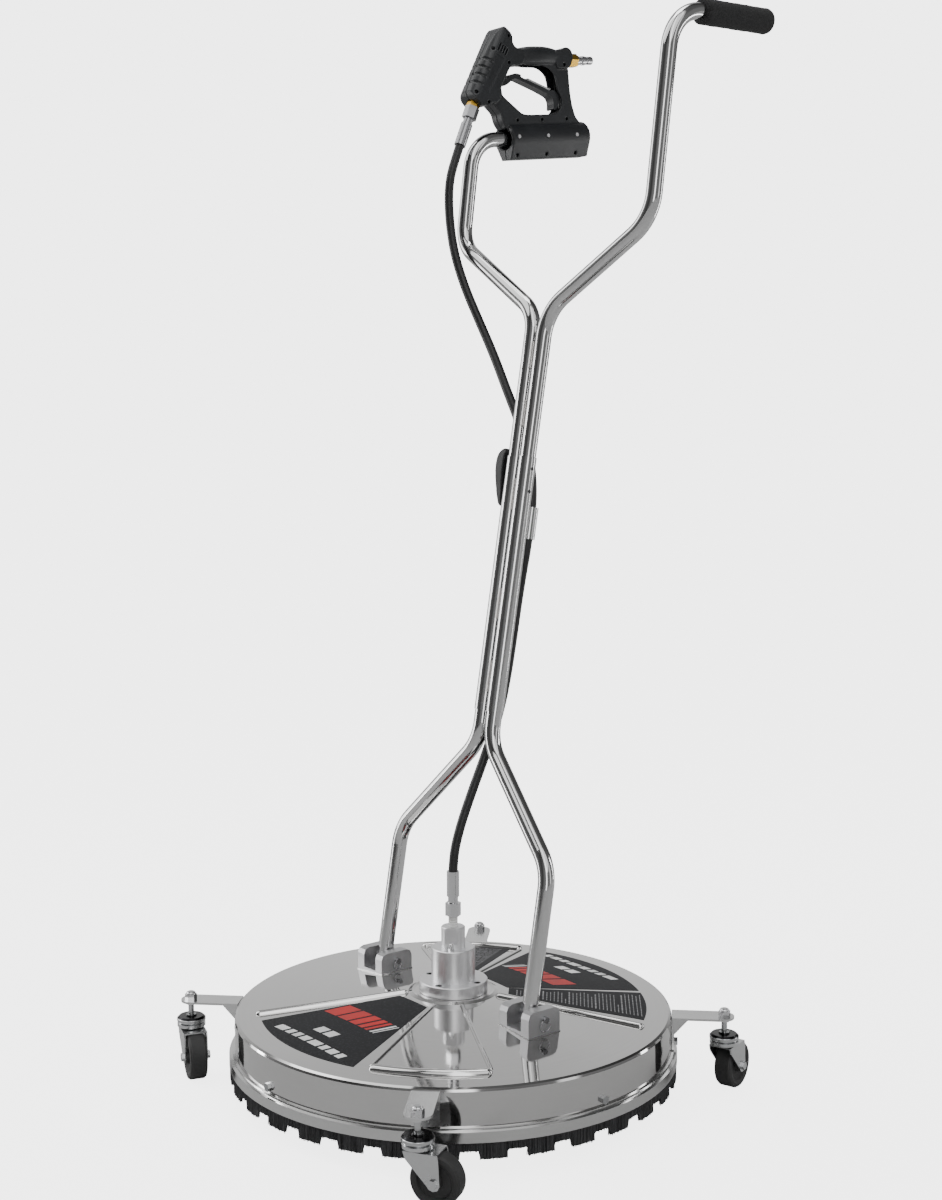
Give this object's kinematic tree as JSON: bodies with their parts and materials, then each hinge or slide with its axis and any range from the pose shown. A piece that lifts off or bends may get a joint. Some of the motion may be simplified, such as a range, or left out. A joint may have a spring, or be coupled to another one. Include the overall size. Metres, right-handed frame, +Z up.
{
  "type": "surface cleaner",
  "caption": "Round stainless flat-surface pressure cleaner on swivel casters, with a spray rotor under a brush-skirted deck, a tilting two-arm handle and a trigger gun.",
  "frame": {"origin": "the deck's axis at floor level", "axes": "+Z up, X along the handle's pin line with +X on the user's left, and the user stands at +Y"},
  "size_m": [0.6353, 0.7427, 1.495],
  "materials": {
    "stainless": "brushed",
    "polished_tube": "satin",
    "bright_steel": "polished",
    "zinc": "zinc plated",
    "cast_aluminium": "machined",
    "brass": "machined",
    "black_plastic": "moulded",
    "grey_plastic": "moulded",
    "tape": "thread tape",
    "black_rubber": "matte",
    "hose_rubber": "smooth",
    "bristle": "cut brush",
    "label": "printed film"
  },
  "bodies": {
    "deck": {"deck_shell": "stainless", "brush_channel": "stainless", "brush_bristles": "bristle", "deck_bolts": "zinc", "deck_labels": "label", "caster_brackets": "stainless", "caster_stems": "zinc", "caster_nuts": "zinc", "swivel_body": "stainless", "swivel_cap": "stainless", "grease_nipple": "zinc", "swivel_bearings": "bright_steel", "shaft_seal": "black_rubber", "retaining_ring": "zinc", "inlet_nipple": "tape", "hose_end_lower": "zinc", "clevis_blocks": "cast_aluminium", "clevis_seats": "stainless", "handle_pins": "zinc", "hose_lower": "hose_rubber"},
    "rotor": {"swivel_shaft": "bright_steel", "rotor_hub": "stainless", "spray_arms": "stainless", "spray_nozzles": "brass"},
    "lower_handle": {"handle_leg_left": "polished_tube", "handle_leg_right": "polished_tube", "handle_sleeves": "polished_tube", "sleeve_welds": "stainless", "hose_guide": "stainless", "sleeve_screws": "black_plastic"},
    "clamp_lever": {"clamp_lever": "black_plastic", "clamp_stud": "zinc"},
    "upper_handle": {"gun_arm": "polished_tube", "grip_arm": "polished_tube", "arm_welds": "stainless", "foam_grip": "black_rubber", "gun_shell_left": "black_plastic", "gun_shell_right": "black_plastic", "trigger_pin": "zinc", "valve_body": "brass", "brass_fittings": "brass", "inlet_plug": "zinc", "gun_screws": "zinc", "clamp_screws": "bright_steel", "hose_end_upper": "zinc", "hose_upper": "hose_rubber"},
    "gun_trigger": {"gun_trigger": "black_plastic"},
    "trigger_latch": {"trigger_latch": "grey_plastic"},
    "caster_rear_left": {"caster_fork_rear_left": "zinc", "caster_axle_rear_left": "zinc"},
    "wheel_rear_left": {"caster_wheel_rear_left": "black_rubber"},
    "caster_rear_right": {"caster_fork_rear_right": "zinc", "caster_axle_rear_right": "zinc"},
    "wheel_rear_right": {"caster_wheel_rear_right": "black_rubber"},
    "caster_front_right": {"caster_fork_front_right": "zinc", "caster_axle_front_right": "zinc"},
    "wheel_front_right": {"caster_wheel_front_right": "black_rubber"},
    "caster_front_left": {"caster_fork_front_left": "zinc", "caster_axle_front_left": "zinc"},
    "wheel_front_left": {"caster_wheel_front_left": "black_rubber"}
  },
  "joints": [
    {"name": "handle_tilt", "type": "hinge", "parent": "deck", "child": "lower_handle", "pos_m": [0, 0, 0.14], "axis": [-1, 0, 0], "range_deg": [-8, 55], "deforming": ["hose_lower"]},
    {"name": "handle_height", "type": "slide", "parent": "lower_handle", "child": "upper_handle", "axis": [0, 0.1702, 0.9854], "range_m": [0, 0.05], "deforming": ["hose_upper"]},
    {"name": "clamp_turn", "type": "hinge", "parent": "lower_handle", "child": "clamp_lever", "pos_m": [-0.03, 0.12247, 0.849], "axis": [-1, 0, 0], "range_deg": [-90, 60]},
    {"name": "trigger_pull", "type": "hinge", "parent": "upper_handle", "child": "gun_trigger", "pos_m": [-0.195, 0.22451, 1.42289], "axis": [1, 0, 0], "range_deg": [0, 12], "stiffness_Nm_per_rad": 1.5, "springref_deg": -5.73},
    {"name": "latch_swing", "type": "hinge", "parent": "gun_trigger", "child": "trigger_latch", "pos_m": [-0.195, 0.34372, 1.4176], "axis": [-1, 0, 0], "range_deg": [0, 10]},
    {"name": "rotor_spin", "type": "hinge", "parent": "deck", "child": "rotor", "pos_m": [0, 0, 0.1], "axis": [0, 0, 1], "continuous": true},
    {"name": "swivel_rear_left", "type": "hinge", "parent": "deck", "child": "caster_rear_left", "pos_m": [0.26262, 0.26262, 0.07], "axis": [0, 0, 1], "continuous": true},
    {"name": "roll_rear_left", "type": "hinge", "parent": "caster_rear_left", "child": "wheel_rear_left", "pos_m": [0.25573, 0.28665, 0.03175], "axis": [-0.9613, -0.2756, 0], "continuous": true},
    {"name": "swivel_rear_right", "type": "hinge", "parent": "deck", "child": "caster_rear_right", "pos_m": [-0.26262, 0.26262, 0.07], "axis": [0, 0, 1], "continuous": true},
    {"name": "roll_rear_right", "type": "hinge", "parent": "caster_rear_right", "child": "wheel_rear_right", "pos_m": [-0.28611, 0.25407, 0.03175], "axis": [0.342, -0.9397, 0], "continuous": true},
    {"name": "swivel_front_right", "type": "hinge", "parent": "deck", "child": "caster_front_right", "pos_m": [-0.26262, -0.26262, 0.07], "axis": [0, 0, 1], "continuous": true},
    {"name": "roll_front_right", "type": "hinge", "parent": "caster_front_right", "child": "wheel_front_right", "pos_m": [-0.23898, -0.27076, 0.03175], "axis": [0.3256, 0.9455, 0], "continuous": true},
    {"name": "swivel_front_left", "type": "hinge", "parent": "deck", "child": "caster_front_left", "pos_m": [0.26262, -0.26262, 0.07], "axis": [0, 0, 1], "continuous": true},
    {"name": "roll_front_left", "type": "hinge", "parent": "caster_front_left", "child": "wheel_front_left", "pos_m": [0.28427, -0.25012, 0.03175], "axis": [-0.5, 0.866, 0], "continuous": true}
  ]
}
